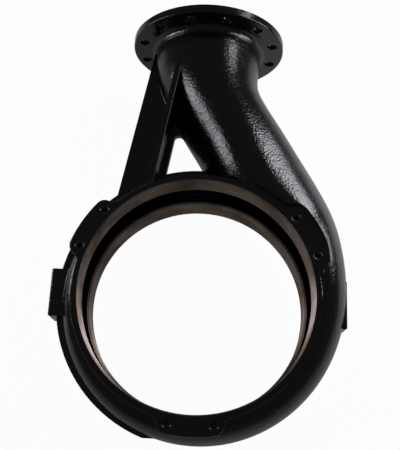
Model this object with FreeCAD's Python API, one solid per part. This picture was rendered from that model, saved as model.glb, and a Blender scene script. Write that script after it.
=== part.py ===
# Cast-iron volute casing of a large waste-water pump: one casting, with the machined bores,
# faces and tapped holes that its cover, motor flange and discharge pipe fasten to.
# Millimetres. The pump axis is Z, the origin is the centre of the suction-side face,
# the motor side is +Z, and the discharge leaves along +Y.
import FreeCAD, Part
import math
import os

V = FreeCAD.Vector

# Casing ring
CASE_DEPTH = 224.0          # suction-side face to motor-side face
BORE_R = 230.0              # machined spigot bore, the same at both ends
COLLAR_WALL = 15.0          # ring of metal left around the spigot bore
FRONT_SPIGOT = 58.0         # length of the motor-side spigot bore
REAR_SPIGOT = 44.0          # length of the suction-side spigot bore
REAR_LAND = 36.0            # narrow land behind it, which stops the suction cover
LAND_STEP = 2.5             # how far the land stands in from the spigot bore
BORE_CHAMFER = 2.0

# Bolting pads, three on each face, with two tapped holes each
PAD_ANGLES = (30.0, 150.0, 270.0)
HOLE_PCD = 500.0
HOLE_HALF_PITCH = 10.0      # degrees from a pad's middle to each of its holes
TAP_MAJOR_D = 16.0
TAP_DEPTH = 34.0
TAP_CHAMFER = 1.5
PAD_EDGE = 20.0             # metal around each tapped hole
PAD_BLEND_R = 18.0          # hollow corner where a pad runs into the ring
FACE_EDGE_R = 3.0           # cast rounding around the face
FACE_CLEARANCE = 20.0       # the faces are cut clear of the chamber this far
FACE_MARGIN = 6.0           # and this far around the outline of the ring and pads

# Spiral chamber, by degrees swept from the tongue
TONGUE_ANGLE = 80.0
SWEEP = 312.0
SPIRAL_START_R = 262.0
SPIRAL_RISE = 0.12          # mm of radius for each degree
THROAT_FLARE = 36.0         # extra radius at the throat
FLARE_SPAN = 24.0           # degrees in which the flare falls to a third
SECTION_INNER_R = 231.0     # inner end of every section, just inside the ring
START_HALF_HEIGHT = 62.0
THROAT_HALF_HEIGHT = 122.0
HEIGHT_GROWTH = 1.8         # over 1, the chamber deepens late
WALL = 14.0
START_SQUARENESS = 2.7      # 2 is an ellipse, more is squarer
CREST_LEAN = 0.45           # share of its half width by which the crest leans to the ring
SPIRAL_STEPS = 15
SPLIT_STEP = 6              # the spiral is made in two lengths, which meet here
GAP_R = 250.0               # the impeller gap, open into the spiral
PASSAGE_START = 8.0         # degrees of solid tongue ahead of the waterway

# Discharge neck: straight, then a bend that brings it square to the flange
NECK_HALF_WIDTH = 96.5      # of the straight neck, across the flow
NECK_EASE = 60.0            # how soon the throat's far side runs straight
NECK_OPEN_RUN = 170.0       # length in which its near side opens out
NECK_BEND_R = 292.0
NECK_SQUARE_RUN = 21.0      # from the end of the bend to the flange
NECK_STRAIGHT_STATIONS = (0.14, 0.3, 0.5, 0.75)
NECK_BEND_STATIONS = 3

# Discharge flange, a DN 200 PN 16 pattern
OUTLET_REACH = 604.0        # pump axis to sealing face
OUTLET_BORE_R = 100.0
OUTLET_BORE_LENGTH = 30.0
CAST_WATERWAY_R = 99.0      # the cast waterway behind the machined outlet
NECK_R = 118.0              # outside, at the flange
FLANGE_R = 170.0
FLANGE_THICK = 19.0
RAISED_FACE_R = 134.0
RAISED_FACE = 3.0
FLANGE_FILLET = 14.0
FILLET_LEDGE = 0.6          # the fillet ends this much proud of the neck
NECK_OVERLAP = 8.0          # the neck runs this far into the flange
FLANGE_EDGE = 2.0
FLANGE_PCD = 295.0
FLANGE_HOLES = 12
FLANGE_HOLE_R = 11.0

# Strut between ring and flange: a flat web at mid depth and a deep rib across it
WEB_THICK = 16.0
WEB_TOP_X = -119.0          # the plate's left edge, at the flange
WEB_FOOT = (-181.0, 226.0)  # and where it meets the rim
RIM_R = 290.0               # mid-depth rim around the small end of the spiral
RIM_END_Y = -274.0          # where the rim is cut off level
RIM_START_ANGLE = 72.0
RIM_END_ANGLE = 256.0
RIB_THICK = 12.0
RIB_SETBACK = 13.0          # rib's edge below each face
RIB_FOOT = (-106.0, 225.0)
RIB_TOP_X = -54.0
RIB_TOP_DROP = 42.0         # below the back of the flange, inside the neck
WINDOW_TOP_R = 11.0
WINDOW_RIB_GAP = 11.0       # web left beside the rib
WINDOW_WALL_GAP = 1.0       # and beside the neck at the window's top

# Side lugs
LUG_REACH = (300.0, 305.5)  # left and right
LUG_HEIGHT = 98.0
LUG_RISE = 3.5              # their middle above the pump axis
LUG_DEPTH = 70.0
LUG_EDGE = 4.0

MID = CASE_DEPTH / 2
COLLAR_R = BORE_R + COLLAR_WALL
HOLE_R = HOLE_PCD / 2
PAD_R = HOLE_R + PAD_EDGE
RIM_FACE_Y = OUTLET_REACH - RAISED_FACE
FLANGE_BACK_Y = RIM_FACE_Y - FLANGE_THICK
THROAT_ANGLE = TONGUE_ANGLE + SWEEP
BEND_ANGLE = THROAT_ANGLE - 360
BEND_TANGENT = NECK_BEND_R * math.tan(math.radians(BEND_ANGLE / 2))
NECK_END_Y = FLANGE_BACK_Y - NECK_SQUARE_RUN
BEND_CORNER_Y = NECK_END_Y - BEND_TANGENT
NECK_OFFSET = BEND_CORNER_Y * math.sin(math.radians(BEND_ANGLE))
NECK_FAR_SIDE = NECK_OFFSET + NECK_HALF_WIDTH
NECK_NEAR_SIDE = NECK_OFFSET - NECK_HALF_WIDTH
NECK_RUN = BEND_CORNER_Y * math.cos(math.radians(BEND_ANGLE)) - BEND_TANGENT
CURVE_POINTS = 20
SAME_PLACE = 0.01           # edges are picked out by their place, to within this


def polar(radius, degrees, z=0.0):
    angle = math.radians(degrees)
    return V(radius * math.cos(angle), radius * math.sin(angle), z)


def cylinder_z(radius, z_low, z_high, centre=V(0, 0, 0)):
    return Part.makeCylinder(radius, z_high - z_low, V(centre.x, centre.y, z_low), V(0, 0, 1))


def sector_z(radius, z_low, z_high, start, end):
    wedge = Part.makeCylinder(radius, z_high - z_low, V(0, 0, z_low), V(0, 0, 1), end - start)
    wedge.rotate(V(0, 0, 0), V(0, 0, 1), start)
    return wedge


def oval(centre, flow_degrees, half_width, half_height, squareness, lean=0.0):
    """One closed section, square to the flow, as a smooth curve; its crests lean to the axis."""
    across = V(math.sin(math.radians(flow_degrees)), -math.cos(math.radians(flow_degrees)), 0)
    points = []
    for i in range(CURVE_POINTS):
        turn = 2 * math.pi * i / CURVE_POINTS
        c, s = math.cos(turn), math.sin(turn)
        w = math.copysign(abs(c) ** (2 / squareness), c)
        h = math.copysign(abs(s) ** (2 / squareness), s)
        points.append(centre + across * (half_width * w - lean * (1 - w * w)) + V(0, 0, half_height * h))
    curve = Part.BSplineCurve()
    knots = [i / CURVE_POINTS for i in range(CURVE_POINTS + 1)]
    curve.interpolate(Points=points, PeriodicFlag=True, Parameters=knots)
    return Part.Wire(curve.toShape())


def spiral_radius(swept):
    flare = THROAT_FLARE * math.exp((swept - SWEEP) / FLARE_SPAN)
    return SPIRAL_START_R + SPIRAL_RISE * swept + flare


def spiral_section(swept, inset):
    """A section of the spiral chamber, inset by a wall for the waterway."""
    outer = spiral_radius(swept)
    angle = TONGUE_ANGLE + swept
    grown = (swept / SWEEP) ** HEIGHT_GROWTH
    half_height = START_HALF_HEIGHT + (THROAT_HALF_HEIGHT - START_HALF_HEIGHT) * grown
    squareness = START_SQUARENESS + (2 - START_SQUARENESS) * swept / SWEEP
    centre = polar((outer + SECTION_INNER_R) / 2, angle, MID)
    half_width = (outer - SECTION_INNER_R) / 2
    lean = CREST_LEAN * half_width
    return oval(centre, angle + 90, half_width - inset, half_height - inset, squareness, lean)


def neck_sides(run):
    """Far and near side of the neck, from the pump axis, at a length past the throat."""
    far = NECK_FAR_SIDE - (NECK_FAR_SIDE - spiral_radius(SWEEP)) * math.exp(-run / NECK_EASE)
    opened = min(run / NECK_OPEN_RUN, 1)
    closing = 1 - opened * opened * (3 - 2 * opened)
    return far, NECK_NEAR_SIDE + (SECTION_INNER_R - NECK_NEAR_SIDE) * closing


def straight_section(share, inset_share):
    """A section of the neck's straight length; share runs from the throat (0) to the bend (1)."""
    far, near = neck_sides(share * NECK_RUN)
    centre = polar((far + near) / 2, BEND_ANGLE, MID) + polar(share * NECK_RUN, BEND_ANGLE + 90)
    half_height = THROAT_HALF_HEIGHT + (NECK_R - THROAT_HALF_HEIGHT) * share
    inset = WALL * inset_share
    half_width = (far - near) / 2
    lean = CREST_LEAN * half_width * (1 - share)
    return oval(centre, BEND_ANGLE + 90, half_width - inset, half_height - inset, 2, lean)


def bend_section(share, inset_share):
    """A section of the bend; share runs from the straight length (0) to the flange (1)."""
    left = BEND_ANGLE * (1 - share)
    centre = V(NECK_BEND_R, NECK_END_Y, MID) + polar(NECK_BEND_R, 180 + left)
    half_width = NECK_HALF_WIDTH + (NECK_R - NECK_HALF_WIDTH) * share * share * (3 - 2 * share)
    inset = (WALL + (NECK_R - CAST_WATERWAY_R - WALL) * share) * inset_share
    return oval(centre, 90 + left, half_width - inset, NECK_R - inset, 2)


def horn(inset_share):
    """Spiral and neck; 0 gives the outside, 1 the waterway."""
    steps = range(SPIRAL_STEPS + 1)
    first = PASSAGE_START * inset_share
    pitch = (SWEEP - first) / SPIRAL_STEPS
    sections = [spiral_section(first + pitch * i, WALL * inset_share) for i in steps]
    sections += [straight_section(share, inset_share) for share in NECK_STRAIGHT_STATIONS]
    sections += [bend_section(i / NECK_BEND_STATIONS, inset_share) for i in range(NECK_BEND_STATIONS + 1)]
    end_r = NECK_R + (CAST_WATERWAY_R - NECK_R) * inset_share
    sections.append(oval(V(0, FLANGE_BACK_Y + NECK_OVERLAP, MID), 90, end_r, end_r, 2))
    small_end = Part.makeLoft(sections[:SPLIT_STEP + 1], True, False)
    return small_end.fuse(Part.makeLoft(sections[SPLIT_STEP:], True, False))


def face_prism(z_low, z_high, margin=0.0):
    """The ring with its three pads, as seen on either face, or wider by a margin."""
    ring_r = COLLAR_R + margin
    body = cylinder_z(ring_r, z_low, z_high)
    for middle in PAD_ANGLES:
        start, end = middle - HOLE_HALF_PITCH, middle + HOLE_HALF_PITCH
        body = body.fuse(sector_z(PAD_R + margin, z_low, z_high, start, end))
        for angle in (start, end):
            body = body.fuse(cylinder_z(PAD_EDGE + margin, z_low, z_high, polar(HOLE_R, angle)))
    body = body.removeSplitter()
    hollow = [e for e in body.Edges if e.Curve.TypeId == "Part::GeomLine"
              and abs(math.hypot(e.Vertexes[0].X, e.Vertexes[0].Y) - ring_r) < SAME_PLACE]
    return body.makeFillet(PAD_BLEND_R, hollow)


def rounded_face(body, z_face):
    """Rounds the outer edge of the ring and pads at one face."""
    rim = [e for e in body.Edges
           if max(abs(e.BoundBox.ZMin - z_face), abs(e.BoundBox.ZMax - z_face)) < SAME_PLACE]
    return body.makeFillet(FACE_EDGE_R, rim)


def discharge_flange():
    """Flange with its raised face and fillet, turned about the outlet axis."""
    foot_r = NECK_R + FILLET_LEDGE
    fillet_r = foot_r + FLANGE_FILLET
    fillet_y = FLANGE_BACK_Y - FLANGE_FILLET
    bulge = FLANGE_FILLET * (1 - math.sqrt(0.5))
    edge_r = FLANGE_R - FLANGE_EDGE
    corners = [(fillet_r, FLANGE_BACK_Y), (edge_r, FLANGE_BACK_Y), (FLANGE_R, FLANGE_BACK_Y + FLANGE_EDGE),
               (FLANGE_R, RIM_FACE_Y - FLANGE_EDGE), (edge_r, RIM_FACE_Y), (RAISED_FACE_R, RIM_FACE_Y),
               (RAISED_FACE_R, OUTLET_REACH), (0, OUTLET_REACH), (0, fillet_y), (foot_r, fillet_y)]
    points = [V(r, y, MID) for r, y in corners]
    fillet = Part.Arc(points[-1], V(foot_r + bulge, FLANGE_BACK_Y - bulge, MID), points[0])
    face = Part.Face(Part.Wire(Part.makePolygon(points).Edges + [fillet.toShape()]))
    return face.revolve(V(0, 0, MID), V(0, 1, 0), 360)


def flange_holes():
    """Bolt holes that straddle the centre lines."""
    cuts = []
    depth = OUTLET_REACH - FLANGE_BACK_Y
    for i in range(FLANGE_HOLES):
        angle = math.radians(360 / FLANGE_HOLES * (i + 0.5))
        x, z = FLANGE_PCD / 2 * math.cos(angle), MID + FLANGE_PCD / 2 * math.sin(angle)
        cuts.append(Part.makeCylinder(FLANGE_HOLE_R, depth, V(x, FLANGE_BACK_Y, z), V(0, 1, 0)))
    return cuts


def slab(points, z_low, z_high):
    face = Part.Face(Part.makePolygon([V(x, y, z_low) for x, y in points] + [V(*points[0], z_low)]))
    return face.extrude(V(0, 0, z_high - z_low))


def mid_web():
    """Flat web at mid depth: the strut's plate and the rim around the spiral's small end."""
    low, high = MID - WEB_THICK / 2, MID + WEB_THICK / 2
    neck_middle = polar(NECK_OFFSET, BEND_ANGLE) + polar(NECK_OPEN_RUN, BEND_ANGLE + 90)
    plate = slab([(WEB_TOP_X, FLANGE_BACK_Y), WEB_FOOT, (0, BORE_R), (neck_middle.x, neck_middle.y),
                  (0, FLANGE_BACK_Y)], low, high)
    rim = sector_z(RIM_R, low, high, RIM_START_ANGLE, RIM_END_ANGLE)
    level = Part.makeBox(2 * RIM_R, 2 * RIM_R, WEB_THICK, V(-RIM_R, RIM_END_Y, low))
    return plate.cut(window(low, high)).fuse(rim.common(level))


def rib_line():
    """The rib's foot, its direction upwards, the direction to its right, and its length."""
    foot = V(*RIB_FOOT, 0)
    upwards = V(RIB_TOP_X, FLANGE_BACK_Y - RIB_TOP_DROP, 0) - foot
    length = upwards.Length
    upwards.normalize()
    return foot, upwards, V(upwards.y, -upwards.x, 0), length


def window(z_low, z_high):
    """Three-cornered window between the rib, the neck and the rim, rounded at its top."""
    foot, upwards, right, _ = rib_line()
    wall = polar(1, BEND_ANGLE)
    left_foot = foot + right * (RIB_THICK / 2 + WINDOW_RIB_GAP)
    start = left_foot + right * WINDOW_TOP_R
    from_axis = NECK_NEAR_SIDE - WINDOW_WALL_GAP - WINDOW_TOP_R
    top = start + upwards * ((from_axis - start.dot(wall)) / upwards.dot(wall))
    corners = [left_foot, top - right * WINDOW_TOP_R, top + wall * WINDOW_TOP_R,
               polar(SECTION_INNER_R, BEND_ANGLE)]
    cut = slab([(c.x, c.y) for c in corners], z_low, z_high)
    return cut.fuse(cylinder_z(WINDOW_TOP_R, z_low, z_high, top))


def rib():
    """Deep rib that crosses the web, from the ring up into the neck."""
    foot, upwards, right, length = rib_line()
    top, side = foot + upwards * length, right * (RIB_THICK / 2)
    corners = [foot - side, top - side, top + side, foot + side]
    return slab([(c.x, c.y) for c in corners], RIB_SETBACK, CASE_DEPTH - RIB_SETBACK)


def lug(side):
    """Flat-faced lug at one side of the ring; side is -1 at the left, 1 at the right."""
    root_x = BORE_R + COLLAR_WALL / 2
    reach = LUG_REACH[side > 0]
    low_x = root_x if side > 0 else -reach
    corner = V(low_x, LUG_RISE - LUG_HEIGHT / 2, MID - LUG_DEPTH / 2)
    body = Part.makeBox(reach - root_x, LUG_HEIGHT, LUG_DEPTH, corner)
    outer = [e for e in body.Edges if abs(abs(e.CenterOfMass.x) - reach) < LUG_EDGE / 2]
    return body.makeFillet(LUG_EDGE, outer)


def bores():
    """Spigot bores, land and lead-in chamfers, turned about the pump axis."""
    land_r = BORE_R - LAND_STEP
    land_top = REAR_SPIGOT + REAR_LAND
    clear = FACE_CLEARANCE
    mouth_r = BORE_R + BORE_CHAMFER
    outline = [(0, -clear), (mouth_r, -clear), (mouth_r, 0), (BORE_R, BORE_CHAMFER), (BORE_R, REAR_SPIGOT),
               (land_r, REAR_SPIGOT), (land_r, land_top), (BORE_R, land_top),
               (BORE_R, CASE_DEPTH - BORE_CHAMFER), (mouth_r, CASE_DEPTH), (mouth_r, CASE_DEPTH + clear),
               (0, CASE_DEPTH + clear)]
    points = [V(r, 0, z) for r, z in outline]
    face = Part.Face(Part.makePolygon(points + [points[0]]))
    return face.revolve(V(0, 0, 0), V(0, 0, 1), 360)


def tapped_holes():
    """Blind tapped holes in the pads of both faces, with their countersinks."""
    cuts = []
    radius = TAP_MAJOR_D / 2
    for middle in PAD_ANGLES:
        for side in (-1, 1):
            for face_z, inward in ((CASE_DEPTH, -1), (0.0, 1)):
                mouth = polar(HOLE_R, middle + side * HOLE_HALF_PITCH, face_z)
                axis = V(0, 0, inward)
                cuts.append(Part.makeCylinder(radius, TAP_DEPTH, mouth, axis))
                cuts.append(Part.makeCone(radius + TAP_CHAMFER, radius, TAP_CHAMFER, mouth, axis))
    return cuts


def casting():
    above = face_prism(CASE_DEPTH, CASE_DEPTH + FACE_CLEARANCE, FACE_MARGIN)
    below = face_prism(-FACE_CLEARANCE, 0.0, FACE_MARGIN)
    body = horn(0).fuse([discharge_flange(), mid_web(), rib(), lug(-1), lug(1)]).cut([above, below])
    gap = cylinder_z(GAP_R, REAR_SPIGOT + REAR_LAND, CASE_DEPTH - FRONT_SPIGOT)
    outlet_start = V(0, OUTLET_REACH - OUTLET_BORE_LENGTH, MID)
    outlet = Part.makeCylinder(OUTLET_BORE_R, OUTLET_BORE_LENGTH, outlet_start, V(0, 1, 0))
    shell = body.cut([horn(1), gap, outlet])
    front = rounded_face(face_prism(CASE_DEPTH - FRONT_SPIGOT, CASE_DEPTH), CASE_DEPTH)
    rear = rounded_face(face_prism(0.0, REAR_SPIGOT + REAR_LAND), 0.0)
    return shell.fuse([front, rear]).cut([bores()] + flange_holes() + tapped_holes())


def main():
    os.makedirs("parts", exist_ok=True)
    body = casting()
    litres = round(body.Volume / 1e6, 3)
    print("solids", len(body.Solids), "valid", body.isValid(), "litres of iron", litres)
    body.Solids[0].exportStep("parts/volute_casing.step")


main()
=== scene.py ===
# %% [markdown]
# # A cast-iron volute casing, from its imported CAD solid
# The object is the spiral casing of a large waste-water pump. It is a single sand casting: a wide
# ring with bolting pads, a spiral chamber that swells round it, an S-bend neck with a pipe flange,
# and a webbed strut. The shape comes whole from CAD, so this lesson is about finish: glossy black
# enamel over the grain of a sand mould, bare turned iron where a cutter has been, and the screw
# threads in the pads, which are too fine for the solid.

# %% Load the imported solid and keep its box
import math

import bmesh
import bpy
from mathutils import Euler, Matrix, Vector


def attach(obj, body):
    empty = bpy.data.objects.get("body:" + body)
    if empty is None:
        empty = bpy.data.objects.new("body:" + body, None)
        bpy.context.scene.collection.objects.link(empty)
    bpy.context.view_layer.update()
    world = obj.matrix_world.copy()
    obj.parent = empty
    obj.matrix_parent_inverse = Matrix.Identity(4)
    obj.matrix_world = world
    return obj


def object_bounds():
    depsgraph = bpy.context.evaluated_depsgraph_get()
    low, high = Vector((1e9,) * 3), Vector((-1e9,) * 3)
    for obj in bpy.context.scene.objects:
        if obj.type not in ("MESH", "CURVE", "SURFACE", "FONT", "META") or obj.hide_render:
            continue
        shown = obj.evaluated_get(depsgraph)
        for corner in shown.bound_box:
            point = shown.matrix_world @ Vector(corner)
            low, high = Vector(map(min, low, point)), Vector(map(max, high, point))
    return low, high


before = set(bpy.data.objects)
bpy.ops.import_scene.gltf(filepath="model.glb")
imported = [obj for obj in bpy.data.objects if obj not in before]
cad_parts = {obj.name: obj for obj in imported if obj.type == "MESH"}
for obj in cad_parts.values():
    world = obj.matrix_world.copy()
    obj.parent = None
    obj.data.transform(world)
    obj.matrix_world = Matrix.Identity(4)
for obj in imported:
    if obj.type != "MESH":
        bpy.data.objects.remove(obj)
cad_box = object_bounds()
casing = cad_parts["volute_casing"]
print("casing box in metres", [[round(v, 3) for v in corner] for corner in cad_box])

# %% [markdown]
# ## Sizes that the finish has to follow
# The bores and the sealing face are turned after painting, so the paint stops there, and those
# places are known from the casing's own dimensions. They are named here once, in metres, so that the
# materials and the threads use the same values.

# %% Sizes of the machined places
CASE_DEPTH = 0.224          # suction-side face to motor-side face
MIDDLE_Z = CASE_DEPTH / 2   # also the height of the outlet's axis
BORE_MOUTH_R = 0.2322       # the spigot bores with their lead-in chamfers
OUTLET_BORE_R = 0.1006
OUTLET_BORE_START_Y = 0.5735
FLANGE_START_Y = 0.5815     # just short of the flange's back face
SEALING_FACE_Y = 0.6025
TAP_CIRCLE_R = 0.250
TAP_R = 0.008               # M16
PAD_TURN = math.radians(30)
PAD_SPACING = math.radians(120)
TAP_HALF_PITCH = math.radians(10)
print("casing depth", CASE_DEPTH, "tapped holes on a circle of radius", TAP_CIRCLE_R)


# %% [markdown]
# ## Two small helpers
# Colours are written as sRGB hex values, the way a paint chart or a screen gives them, and Blender
# wants linear light, so one function converts them. Another adds a node with its settings and links
# in one line, which keeps the trees below short enough to read. A node that is given to it as a
# value stands for its first output.

# %% Helpers for colours and nodes
def linear(hex_colour):
    channels = [int(hex_colour[i:i + 2], 16) / 255 for i in (1, 3, 5)]
    return [c / 12.92 if c <= 0.04045 else ((c + 0.055) / 1.055) ** 2.4 for c in channels] + [1.0]


def node(tree, kind, sockets=None, **settings):
    made = tree.nodes.new(kind)
    for name, value in settings.items():
        setattr(made, name, value)
    for key, value in (sockets or {}).items():
        if isinstance(value, bpy.types.Node):
            value = value.outputs[0]
        if isinstance(value, bpy.types.NodeSocket):
            tree.links.new(value, made.inputs[key])
        else:
            made.inputs[key].default_value = value
    return made


print("middle grey in linear light", round(linear("#808080")[0], 3))

# %% [markdown]
# ## The camera
# The photograph looks down on the casing from a little on its near side. Its lens and place come
# from matching the flange's holes, the pads' holes and both bore edges, so the camera is set as a
# rotation and a point and not aimed by hand.

# %% Camera
CAMERA_PLACE = (0.02102, -0.29175, 1.63803)
CAMERA_TILT, CAMERA_TURN, CAMERA_ROLL = -16.71, -1.27, -2.86
FOCAL_PIXELS, FRAME_HEIGHT, FRAME_WIDTH = 745.07, 450, 400
CENTRE_PIXEL = (194.22, 226.16)
SENSOR_MM = 36.0

camera_data = bpy.data.cameras.new("camera")
camera_data.sensor_fit = "VERTICAL"
camera_data.sensor_height = SENSOR_MM
camera_data.lens = FOCAL_PIXELS / FRAME_HEIGHT * SENSOR_MM
camera_data.shift_x = (FRAME_WIDTH / 2 - CENTRE_PIXEL[0]) / FRAME_HEIGHT
camera_data.shift_y = (CENTRE_PIXEL[1] - FRAME_HEIGHT / 2) / FRAME_HEIGHT
camera = bpy.data.objects.new("camera", camera_data)
bpy.context.collection.objects.link(camera)
to_camera = (Matrix.Rotation(math.radians(CAMERA_ROLL), 3, "Z")
             @ Matrix.Rotation(math.radians(CAMERA_TILT), 3, "X")
             @ Matrix.Rotation(math.radians(CAMERA_TURN), 3, "Y"))
camera.matrix_world = Matrix.Translation(CAMERA_PLACE) @ to_camera.transposed().to_4x4()
bpy.context.scene.camera = camera
print("lens", round(camera_data.lens, 1), "mm at", [round(v, 2) for v in CAMERA_PLACE])

# %% [markdown]
# ## Glossy black enamel over a sand casting, with turned iron in the bores
# The casting leaves its mould with the grain of the sand on it, and a coat of black enamel fills
# the finest grain and rounds the rest. What the eye gets is a deep black with soft, broken
# highlights. The bores are turned after painting, so they are bare grey-brown iron with fine marks
# that run round the axis. Both finishes are on one casting with one slot, so a mask picks between
# them by place: the distance from the pump axis, and from the outlet axis beyond the flange.

# %% The casing's material and its coordinates
enamel = bpy.data.materials.new("black_enamel_on_sand_casting")
enamel.use_nodes = True
tree = enamel.node_tree
tree.nodes.clear()
place = node(tree, "ShaderNodeTexCoord").outputs["Object"]
x, y, z = node(tree, "ShaderNodeSeparateXYZ", {0: place}).outputs
flat_place = node(tree, "ShaderNodeCombineXYZ", {"X": x, "Y": y})
from_middle = node(tree, "ShaderNodeMath", {0: z, 1: MIDDLE_Z}, operation="SUBTRACT")
print("material", enamel.name)

# %% Mask of the turned places
from_axis = node(tree, "ShaderNodeVectorMath", {0: flat_place}, operation="LENGTH").outputs["Value"]
in_bore = node(tree, "ShaderNodeMath", {0: from_axis, 1: BORE_MOUTH_R}, operation="LESS_THAN")
outlet_place = node(tree, "ShaderNodeCombineXYZ", {"X": x, "Y": from_middle})
from_outlet = node(tree, "ShaderNodeVectorMath", {0: outlet_place}, operation="LENGTH").outputs["Value"]
near_outlet = node(tree, "ShaderNodeMath", {0: from_outlet, 1: OUTLET_BORE_R}, operation="LESS_THAN")
past_start = node(tree, "ShaderNodeMath", {0: y, 1: OUTLET_BORE_START_Y}, operation="GREATER_THAN")
in_outlet = node(tree, "ShaderNodeMath", {0: near_outlet, 1: past_start}, operation="MULTIPLY")
on_sealing_face = node(tree, "ShaderNodeMath", {0: y, 1: SEALING_FACE_Y}, operation="GREATER_THAN")
at_outlet = node(tree, "ShaderNodeMath", {0: in_outlet, 1: on_sealing_face}, operation="MAXIMUM")
turned = node(tree, "ShaderNodeMath", {0: in_bore, 1: at_outlet}, operation="MAXIMUM")
print("mask nodes", len(tree.nodes))

# %% [markdown]
# ### The smoother faces
# The ring and pad faces and the flange were machined before they were painted, so the grain of the
# mould fades out there. A milled face is found as a place that is level and at the height of a face,
# and the flange by its distance along the outlet.

# %% Share of the sand grain that is left, 1 on the raw casting
FACE_BAND = 0.001           # how far under a face a place still counts as on it
LEVEL_LIMIT = 0.97          # least upward share of a level face's normal
MILLED_SMOOTHNESS, FLANGE_SMOOTHNESS = 0.85, 0.6

face_normal = node(tree, "ShaderNodeNewGeometry").outputs["Normal"]
upward = node(tree, "ShaderNodeSeparateXYZ", {0: face_normal}).outputs["Z"]
steepness = node(tree, "ShaderNodeMath", {0: upward}, operation="ABSOLUTE")
level = node(tree, "ShaderNodeMath", {0: steepness, 1: LEVEL_LIMIT}, operation="GREATER_THAN")
off_middle = node(tree, "ShaderNodeMath", {0: from_middle}, operation="ABSOLUTE")
at_face = node(tree, "ShaderNodeMath", {0: off_middle, 1: MIDDLE_Z - FACE_BAND}, operation="GREATER_THAN")
milled = node(tree, "ShaderNodeMath", {0: at_face, 1: level}, operation="MULTIPLY")
milled_share = node(tree, "ShaderNodeMath", {0: milled, 1: MILLED_SMOOTHNESS}, operation="MULTIPLY")
on_flange = node(tree, "ShaderNodeMath", {0: y, 1: FLANGE_START_Y}, operation="GREATER_THAN")
flange_share = node(tree, "ShaderNodeMath", {0: on_flange, 1: FLANGE_SMOOTHNESS}, operation="MULTIPLY")
smooth_share = node(tree, "ShaderNodeMath", {0: milled_share, 1: flange_share}, operation="MAXIMUM")
grain_share = node(tree, "ShaderNodeMath", {0: 1.0, 1: smooth_share}, operation="SUBTRACT")
print("a milled face keeps", round(1 - MILLED_SMOOTHNESS, 2), "of the grain")

# %% [markdown]
# ### Sand grain and waviness under the enamel
# Foundry sand has grains of about half a millimetre, and under paint they show as lumps of a few
# millimetres. One pixel here is almost two millimetres, so the lumps are drawn nearly 5 mm across,
# with a slower waviness of about 30 mm under them, as the mould wall has. A casting and its paint
# have no sharp edges either. A Bevel node rounds the shading at the solid's edges, which gives the
# thin light line along the rib and the lugs.

# %% Enamel: relief, gloss and colour
GRAIN_SIZE, GRAIN_HEIGHT, GRAIN_STRENGTH = 0.0047, 0.0015, 0.5
WAVE_SIZE, WAVE_HEIGHT, WAVE_STRENGTH = 0.030, 0.003, 0.25
EDGE_R = 0.0025
WAVE_TONES = (0.3, 0.7)     # where most of the noise lies
ENAMEL_ROUGHNESS = (0.12, 0.18)
ENAMEL_IOR = 1.52

grain = node(tree, "ShaderNodeTexNoise",
             {"Vector": place, "Scale": 1 / GRAIN_SIZE, "Detail": 2.0, "Roughness": 0.5})
waviness = node(tree, "ShaderNodeTexNoise", {"Vector": place, "Scale": 1 / WAVE_SIZE, "Detail": 2.0})
soft_edge = node(tree, "ShaderNodeBevel", {"Radius": EDGE_R}, samples=6)
waves = node(tree, "ShaderNodeBump", {"Height": waviness, "Strength": WAVE_STRENGTH,
                                      "Distance": WAVE_HEIGHT, "Normal": soft_edge})
grain_strength = node(tree, "ShaderNodeMath", {0: grain_share, 1: GRAIN_STRENGTH}, operation="MULTIPLY")
grains = node(tree, "ShaderNodeBump", {"Height": grain, "Strength": grain_strength,
                                       "Distance": GRAIN_HEIGHT, "Normal": waves})
gloss = node(tree, "ShaderNodeMapRange",
             {"Value": waviness, "From Min": WAVE_TONES[0], "From Max": WAVE_TONES[1],
              "To Min": ENAMEL_ROUGHNESS[0], "To Max": ENAMEL_ROUGHNESS[1]})
paint = node(tree, "ShaderNodeBsdfPrincipled", {"Base Color": linear("#090807"), "Roughness": gloss,
                                                "Normal": grains, "IOR": ENAMEL_IOR})
print("grain of", GRAIN_SIZE * 1000, "mm, waviness of", WAVE_SIZE * 1000, "mm")

# %% [markdown]
# ### Turned iron
# A boring bar leaves grooves a fraction of a millimetre apart that run round the bore. They are too
# fine to show here, so they are drawn 2.4 mm apart. They spread a reflection across themselves, along
# the axis, and keep it narrow round the bore, which is why such a bore is bright on the sides that
# face a lamp and dull between them. Blender spreads it along the tangent, so the tangent has to lie
# across the grooves. It comes from the place itself: the direction of the grooves, crossed with the
# normal. Handling leaves the bare iron brownish, in patches of a few centimetres.

# %% Turned iron: colour
STAINS_PER_METRE = 14.0
STAIN_TONES = (0.35, 0.68)  # the noise below is clean iron, above is brown

stains = node(tree, "ShaderNodeTexNoise", {"Vector": place, "Scale": STAINS_PER_METRE, "Detail": 4.0})
iron_tone = node(tree, "ShaderNodeMapRange",
                 {"Value": stains, "From Min": STAIN_TONES[0], "From Max": STAIN_TONES[1]})
iron_colour = node(tree, "ShaderNodeMix", {0: iron_tone, 6: linear("#d2c6ba"), 7: linear("#95816e")},
                   data_type="RGBA").outputs[2]
print("stains of about", round(1000 / STAINS_PER_METRE), "mm")

# %% Turned iron: grooves and direction
GROOVES_PER_METRE, MARKS_ROUND_PER_METRE = 420.0, 6.0
GROOVE_HEIGHT, GROOVE_STRENGTH = 0.0004, 0.25
IRON_ROUGHNESS, GROOVE_SPREAD = 0.55, 0.95

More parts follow.
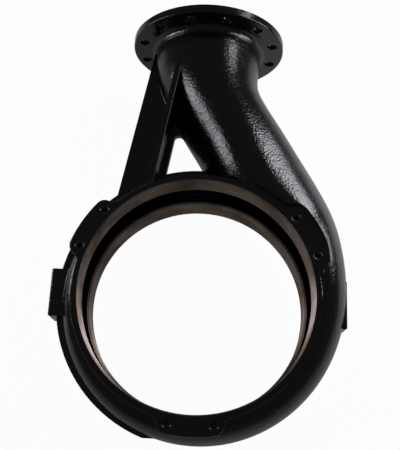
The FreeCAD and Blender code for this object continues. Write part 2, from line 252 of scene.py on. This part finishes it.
marks_place = node(tree, "ShaderNodeVectorMath",
                   {0: place, 1: (MARKS_ROUND_PER_METRE, MARKS_ROUND_PER_METRE, GROOVES_PER_METRE)},
                   operation="MULTIPLY")
marks = node(tree, "ShaderNodeTexNoise", {"Vector": marks_place, "Scale": 1.0, "Detail": 3.0})
grooves = node(tree, "ShaderNodeBump", {"Height": marks, "Strength": GROOVE_STRENGTH,
                                        "Distance": GROOVE_HEIGHT})
around = node(tree, "ShaderNodeVectorMath", {0: (0.0, 0.0, 1.0), 1: flat_place}, operation="CROSS_PRODUCT")
across = node(tree, "ShaderNodeVectorMath", {0: around, 1: face_normal}, operation="CROSS_PRODUCT")
tangent = node(tree, "ShaderNodeVectorMath", {0: across}, operation="NORMALIZE")
iron = node(tree, "ShaderNodeBsdfPrincipled",
            {"Base Color": iron_colour, "Metallic": 1.0, "Roughness": IRON_ROUGHNESS,
             "Anisotropic": GROOVE_SPREAD, "Tangent": tangent, "Normal": grooves})
print("grooves drawn", round(1000 / GROOVES_PER_METRE, 1), "mm apart")

# %% Join the two finishes and dress the casing
finish_mix = node(tree, "ShaderNodeMixShader", {0: turned, 1: paint, 2: iron})
node(tree, "ShaderNodeOutputMaterial", {"Surface": finish_mix})
for slot in casing.material_slots:
    slot.material = enamel
print("casing slots", len(casing.material_slots), "triangles", len(casing.data.polygons))

# %% [markdown]
# ## Tapped iron
# A tap leaves bare iron that nobody wipes, with cutting oil in its roots. Seen from a step away it is a dark
# hole with small bright glints on the flanks. The metal is fairly smooth and uneven in tone over a few
# millimetres, and its dark grey-brown is partly the oily iron and partly painted shade of the deep hole.

# %% Tapped iron's material
TONES_PER_METRE = 260.0
TAPPED_ROUGHNESS = 0.35

cut_iron = bpy.data.materials.new("tapped_iron_bare")
cut_iron.use_nodes = True
cut_tree = cut_iron.node_tree
cut_tree.nodes.clear()
cut_place = node(cut_tree, "ShaderNodeTexCoord").outputs["Object"]
cut_tone = node(cut_tree, "ShaderNodeTexNoise", {"Vector": cut_place, "Scale": TONES_PER_METRE})
# Both ends of this dark range are partly the oily iron's own tone and partly painted shade of the deep hole.
tapped_tone_and_hole_shade = node(cut_tree, "ShaderNodeMix", {0: cut_tone, 6: linear("#4c443c"), 7: linear("#8b8178")},
                  data_type="RGBA").outputs[2]
cut_surface = node(cut_tree, "ShaderNodeBsdfPrincipled",
                   {"Base Color": tapped_tone_and_hole_shade, "Metallic": 1.0, "Roughness": TAPPED_ROUGHNESS})
node(cut_tree, "ShaderNodeOutputMaterial", {"Surface": cut_surface})
print("material", cut_iron.name)

# %% [markdown]
# ## Screw threads in the pads
# Six M16 holes are tapped into the pads of each face. The solid has them as plain holes of the
# thread's outside diameter, and the thread is a ridge on their wall. It repeats and follows a rule,
# so Geometry Nodes makes it: one ridge with the standard 60-degree outline is swept along a helix,
# and copies stand at the twelve places. The tree ends in real mesh, because an export drops copies.

# %% The tree and its named inputs
PITCH = 0.002
THREAD_LENGTH = 0.030
MOUTH_CHAMFER = 0.0015

threads = bpy.data.node_groups.new("tapped_threads", "GeometryNodeTree")
sizes = {"Circle radius": TAP_CIRCLE_R, "Half pitch angle": TAP_HALF_PITCH, "Hole radius": TAP_R,
         "Thread pitch": PITCH, "Thread length": THREAD_LENGTH, "Mouth": MOUTH_CHAMFER, "Depth": CASE_DEPTH}
socket_ids = {}
for name in sizes:
    socket = threads.interface.new_socket(name=name, in_out="INPUT", socket_type="NodeSocketFloat")
    socket_ids[name] = socket.identifier
threads.interface.new_socket(name="Geometry", in_out="OUTPUT", socket_type="NodeSocketGeometry")
given = node(threads, "NodeGroupInput").outputs
print("inputs", list(sizes))

# %% One ridge, swept along a helix
RIDGE_HEIGHT_SHARE = 0.541  # of the pitch, as in the metric standard
RIDGE_FOOT_SHARE = 0.875
RIDGE_TOP_SHARE = 0.25
SUNK_SHARE = 0.47           # where the helix runs in the ridge's height, so that its foot is in the wall
TURN_POINTS = 20

ridge_height = node(threads, "ShaderNodeMath", {0: given["Thread pitch"], 1: RIDGE_HEIGHT_SHARE},
                    operation="MULTIPLY")
ridge_foot = node(threads, "ShaderNodeMath", {0: given["Thread pitch"], 1: RIDGE_FOOT_SHARE},
                  operation="MULTIPLY")
ridge_top = node(threads, "ShaderNodeMath", {0: given["Thread pitch"], 1: RIDGE_TOP_SHARE},
                 operation="MULTIPLY")
turns = node(threads, "ShaderNodeMath", {0: given["Thread length"], 1: given["Thread pitch"]},
             operation="DIVIDE")
inward = node(threads, "ShaderNodeMath", {0: ridge_height, 1: SUNK_SHARE}, operation="MULTIPLY")
helix_r = node(threads, "ShaderNodeMath", {0: given["Hole radius"], 1: inward}, operation="SUBTRACT")
helix = node(threads, "GeometryNodeCurveSpiral",
             {"Resolution": TURN_POINTS, "Rotations": turns, "Start Radius": helix_r,
              "End Radius": helix_r, "Height": given["Thread length"]})
upright = node(threads, "GeometryNodeSetCurveNormal", {"Curve": helix}, mode="Z_UP")
outline = node(threads, "GeometryNodeCurvePrimitiveQuadrilateral",
               {"Height": ridge_height, "Bottom Width": ridge_foot, "Top Width": ridge_top, "Offset": 0.0},
               mode="TRAPEZOID")
inward_outline = node(threads, "GeometryNodeTransform",
                      {"Geometry": outline, "Rotation": Euler((0, 0, math.radians(90)))})
ridge = node(threads, "GeometryNodeCurveToMesh",
             {"Curve": upright, "Profile Curve": inward_outline, "Fill Caps": True})
print("thread turns", THREAD_LENGTH / PITCH, "ridge", round(RIDGE_HEIGHT_SHARE * PITCH * 1000, 2), "mm high")

# %% [markdown]
# The places are counted from 0 to 11. Two holes make a pad, three pads make a face, and the first
# six holes are in the motor-side face. In its pad a hole is on one side of the middle or the other,
# so 0 and 1 become -1 and +1 there, times half the angle between the two.

# %% The twelve places, and copies on them
HOLES_IN_A_PAD, HOLES_IN_A_FACE, HOLE_COUNT = 2.0, 6, 12

order = node(threads, "GeometryNodeInputIndex")
pads_before = node(threads, "ShaderNodeMath", {0: order, 1: HOLES_IN_A_PAD}, operation="DIVIDE")
pad = node(threads, "ShaderNodeMath", {0: pads_before}, operation="FLOOR")
pad_angle = node(threads, "ShaderNodeMath", {0: pad, 1: PAD_SPACING, 2: PAD_TURN}, operation="MULTIPLY_ADD")
in_pad = node(threads, "ShaderNodeMath", {0: order, 1: HOLES_IN_A_PAD}, operation="MODULO")
side = node(threads, "ShaderNodeMath", {0: in_pad, 1: 2.0, 2: -1.0}, operation="MULTIPLY_ADD")
angle = node(threads, "ShaderNodeMath", {0: side, 1: given["Half pitch angle"], 2: pad_angle},
             operation="MULTIPLY_ADD")
cosine = node(threads, "ShaderNodeMath", {0: angle}, operation="COSINE")
sine = node(threads, "ShaderNodeMath", {0: angle}, operation="SINE")
spot_x = node(threads, "ShaderNodeMath", {0: given["Circle radius"], 1: cosine}, operation="MULTIPLY")
spot_y = node(threads, "ShaderNodeMath", {0: given["Circle radius"], 1: sine}, operation="MULTIPLY")
below_face = node(threads, "ShaderNodeMath", {0: given["Mouth"], 1: given["Thread length"]}, operation="ADD")
motor_side_z = node(threads, "ShaderNodeMath", {0: given["Depth"], 1: below_face}, operation="SUBTRACT")
suction_side = node(threads, "ShaderNodeMath", {0: order, 1: HOLES_IN_A_FACE - 0.5}, operation="GREATER_THAN")
low_z = node(threads, "ShaderNodeMix", {0: suction_side, 2: motor_side_z, 3: given["Mouth"]})
spot = node(threads, "ShaderNodeCombineXYZ", {"X": spot_x, "Y": spot_y, "Z": low_z})
holes = node(threads, "GeometryNodePoints", {"Count": HOLE_COUNT, "Position": spot})
copies = node(threads, "GeometryNodeInstanceOnPoints", {"Points": holes, "Instance": ridge})
real = node(threads, "GeometryNodeRealizeInstances", {"Geometry": copies})
bare = node(threads, "GeometryNodeSetMaterial", {"Geometry": real, "Material": cut_iron})
node(threads, "NodeGroupOutput", {"Geometry": bare})
print("nodes in the tree", len(threads.nodes))

# %% [markdown]
# The tree runs once, on an empty mesh. Its result is taken as a plain mesh, the modifier goes, and
# the faces are turned outwards, so what is kept is ordinary geometry that rides on the casing.

# %% Make the threads
pad_threads = bpy.data.objects.new("pad_threads", bpy.data.meshes.new("pad_threads"))
bpy.context.collection.objects.link(pad_threads)
maker = pad_threads.modifiers.new("threads", "NODES")
maker.node_group = threads
for name, value in sizes.items():
    maker[socket_ids[name]] = value
evaluated = pad_threads.evaluated_get(bpy.context.evaluated_depsgraph_get())
thread_mesh = bpy.data.meshes.new_from_object(evaluated)
pad_threads.modifiers.clear()
pad_threads.data = thread_mesh
shell = bmesh.new()
shell.from_mesh(thread_mesh)
bmesh.ops.recalc_face_normals(shell, faces=shell.faces)
thread_volume = shell.calc_volume(signed=True)
print("threads: faces", len(shell.faces), "volume in cubic mm", round(thread_volume * 1e9, 1))
shell.to_mesh(thread_mesh)
shell.free()
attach(pad_threads, "root")

# %% [markdown]
# ## The table
# The casing lies on a pale table. Its material is white to the camera, which gives the clean
# background, and only a little lit in reflections, because black enamel would mirror a bright table
# as grey. It still takes a soft shadow.

# %% Tabletop: a pale matt paint, and the white that the camera sees
SEEN_WHITE, MIRRORED_WHITE = 0.97, 0.08

tabletop = bpy.data.materials.new("pale_painted_tabletop")
tabletop.use_nodes = True
top_tree = tabletop.node_tree
top_tree.nodes.clear()
ray = node(top_tree, "ShaderNodeLightPath").outputs
mirrored = node(top_tree, "ShaderNodeMath", {0: ray["Is Glossy Ray"], 1: ray["Is Transmission Ray"]},
                operation="MAXIMUM")
mirrored_share = node(top_tree, "ShaderNodeMath", {0: mirrored, 1: MIRRORED_WHITE}, operation="MULTIPLY")
share = node(top_tree, "ShaderNodeMath", {0: ray["Is Camera Ray"], 1: SEEN_WHITE, 2: mirrored_share},
             operation="MULTIPLY_ADD")
matt = node(top_tree, "ShaderNodeBsdfDiffuse", {"Color": linear("#cfcfcf")})
white = node(top_tree, "ShaderNodeEmission", {"Color": linear("#ffffff"), "Strength": 1.0})
top_mix = node(top_tree, "ShaderNodeMixShader", {0: share, 1: matt, 2: white})
node(top_tree, "ShaderNodeOutputMaterial", {"Surface": top_mix})
print("white to the camera", SEEN_WHITE, "in reflections", MIRRORED_WHITE)

# %% Floor
TABLE_SIZE = (1.7, 1.9)
TABLE_MIDDLE = (0.0, 0.15)
FLOOR_GAP = 0.0005

floor_z = cad_box[0][2] - FLOOR_GAP
corners = [(TABLE_MIDDLE[0] + i * TABLE_SIZE[0] / 2, TABLE_MIDDLE[1] + j * TABLE_SIZE[1] / 2, floor_z)
           for i, j in ((-1, -1), (1, -1), (1, 1), (-1, 1))]
floor_mesh = bpy.data.meshes.new("floor")
floor_mesh.from_pydata(corners, [], [(0, 1, 2, 3)])
floor_mesh.materials.append(tabletop)
floor = bpy.data.objects.new("floor", floor_mesh)
bpy.context.collection.objects.link(floor)
print("floor at", round(floor_z, 4))

# %% [markdown]
# ## Lamps
# Enamel shows the lamps more than it shows light, so they are placed by what they look like in it: a
# tall one on the left for the long highlight that runs down the neck, a small one close by on the
# right for the bright patch where the neck meets the spiral, and two weaker ones for the top of the
# neck and the spiral's flank. A lamp's brightness as the enamel mirrors it is its power shared over
# its area, so each lamp is given by that brightness and its watts follow. Moving or resizing one then
# leaves the highlight as bright as it was.

# %% Lamps
LAMP_AIM = Vector((0.05, 0.25, 0.10))


def soft_lamp(name, place, width, height, brightness):
    data = bpy.data.lights.new(name, "AREA")
    data.shape = "RECTANGLE"
    data.size, data.size_y = width, height
    data.energy = brightness * math.pi * width * height
    data.color = linear("#fbf6ff")[:3]
    lamp = bpy.data.objects.new(name, data)
    bpy.context.collection.objects.link(lamp)
    lamp.location = place
    lamp.rotation_euler = (LAMP_AIM - Vector(place)).to_track_quat("-Z", "Y").to_euler()
    print(name, round(data.energy, 1), "W")


soft_lamp("left_softbox", (-1.08, 0.41, 0.47), 0.32, 0.80, 7.0)
soft_lamp("close_right_softbox", (0.54, 0.60, 0.38), 0.20, 0.35, 7.0)
soft_lamp("far_right_softbox", (1.53, 1.31, 1.25), 0.60, 0.60, 9.0)
soft_lamp("low_right_softbox", (0.85, 0.42, 0.32), 0.30, 0.30, 6.0)

# %% [markdown]
# ## The room
# The level faces of the ring and pads mirror what is above the camera, and they are almost black in
# the photograph, so the rest of the room is an even, dim white.

# %% World and view
ROOM_BRIGHTNESS = 0.09

world = bpy.data.worlds.new("dim_room")
world.use_nodes = True
room = world.node_tree.nodes["Background"].inputs
room["Color"].default_value = linear("#ffffff")
room["Strength"].default_value = ROOM_BRIGHTNESS
bpy.context.scene.world = world
bpy.context.scene.view_settings.view_transform = "Standard"
print("room brightness", ROOM_BRIGHTNESS)
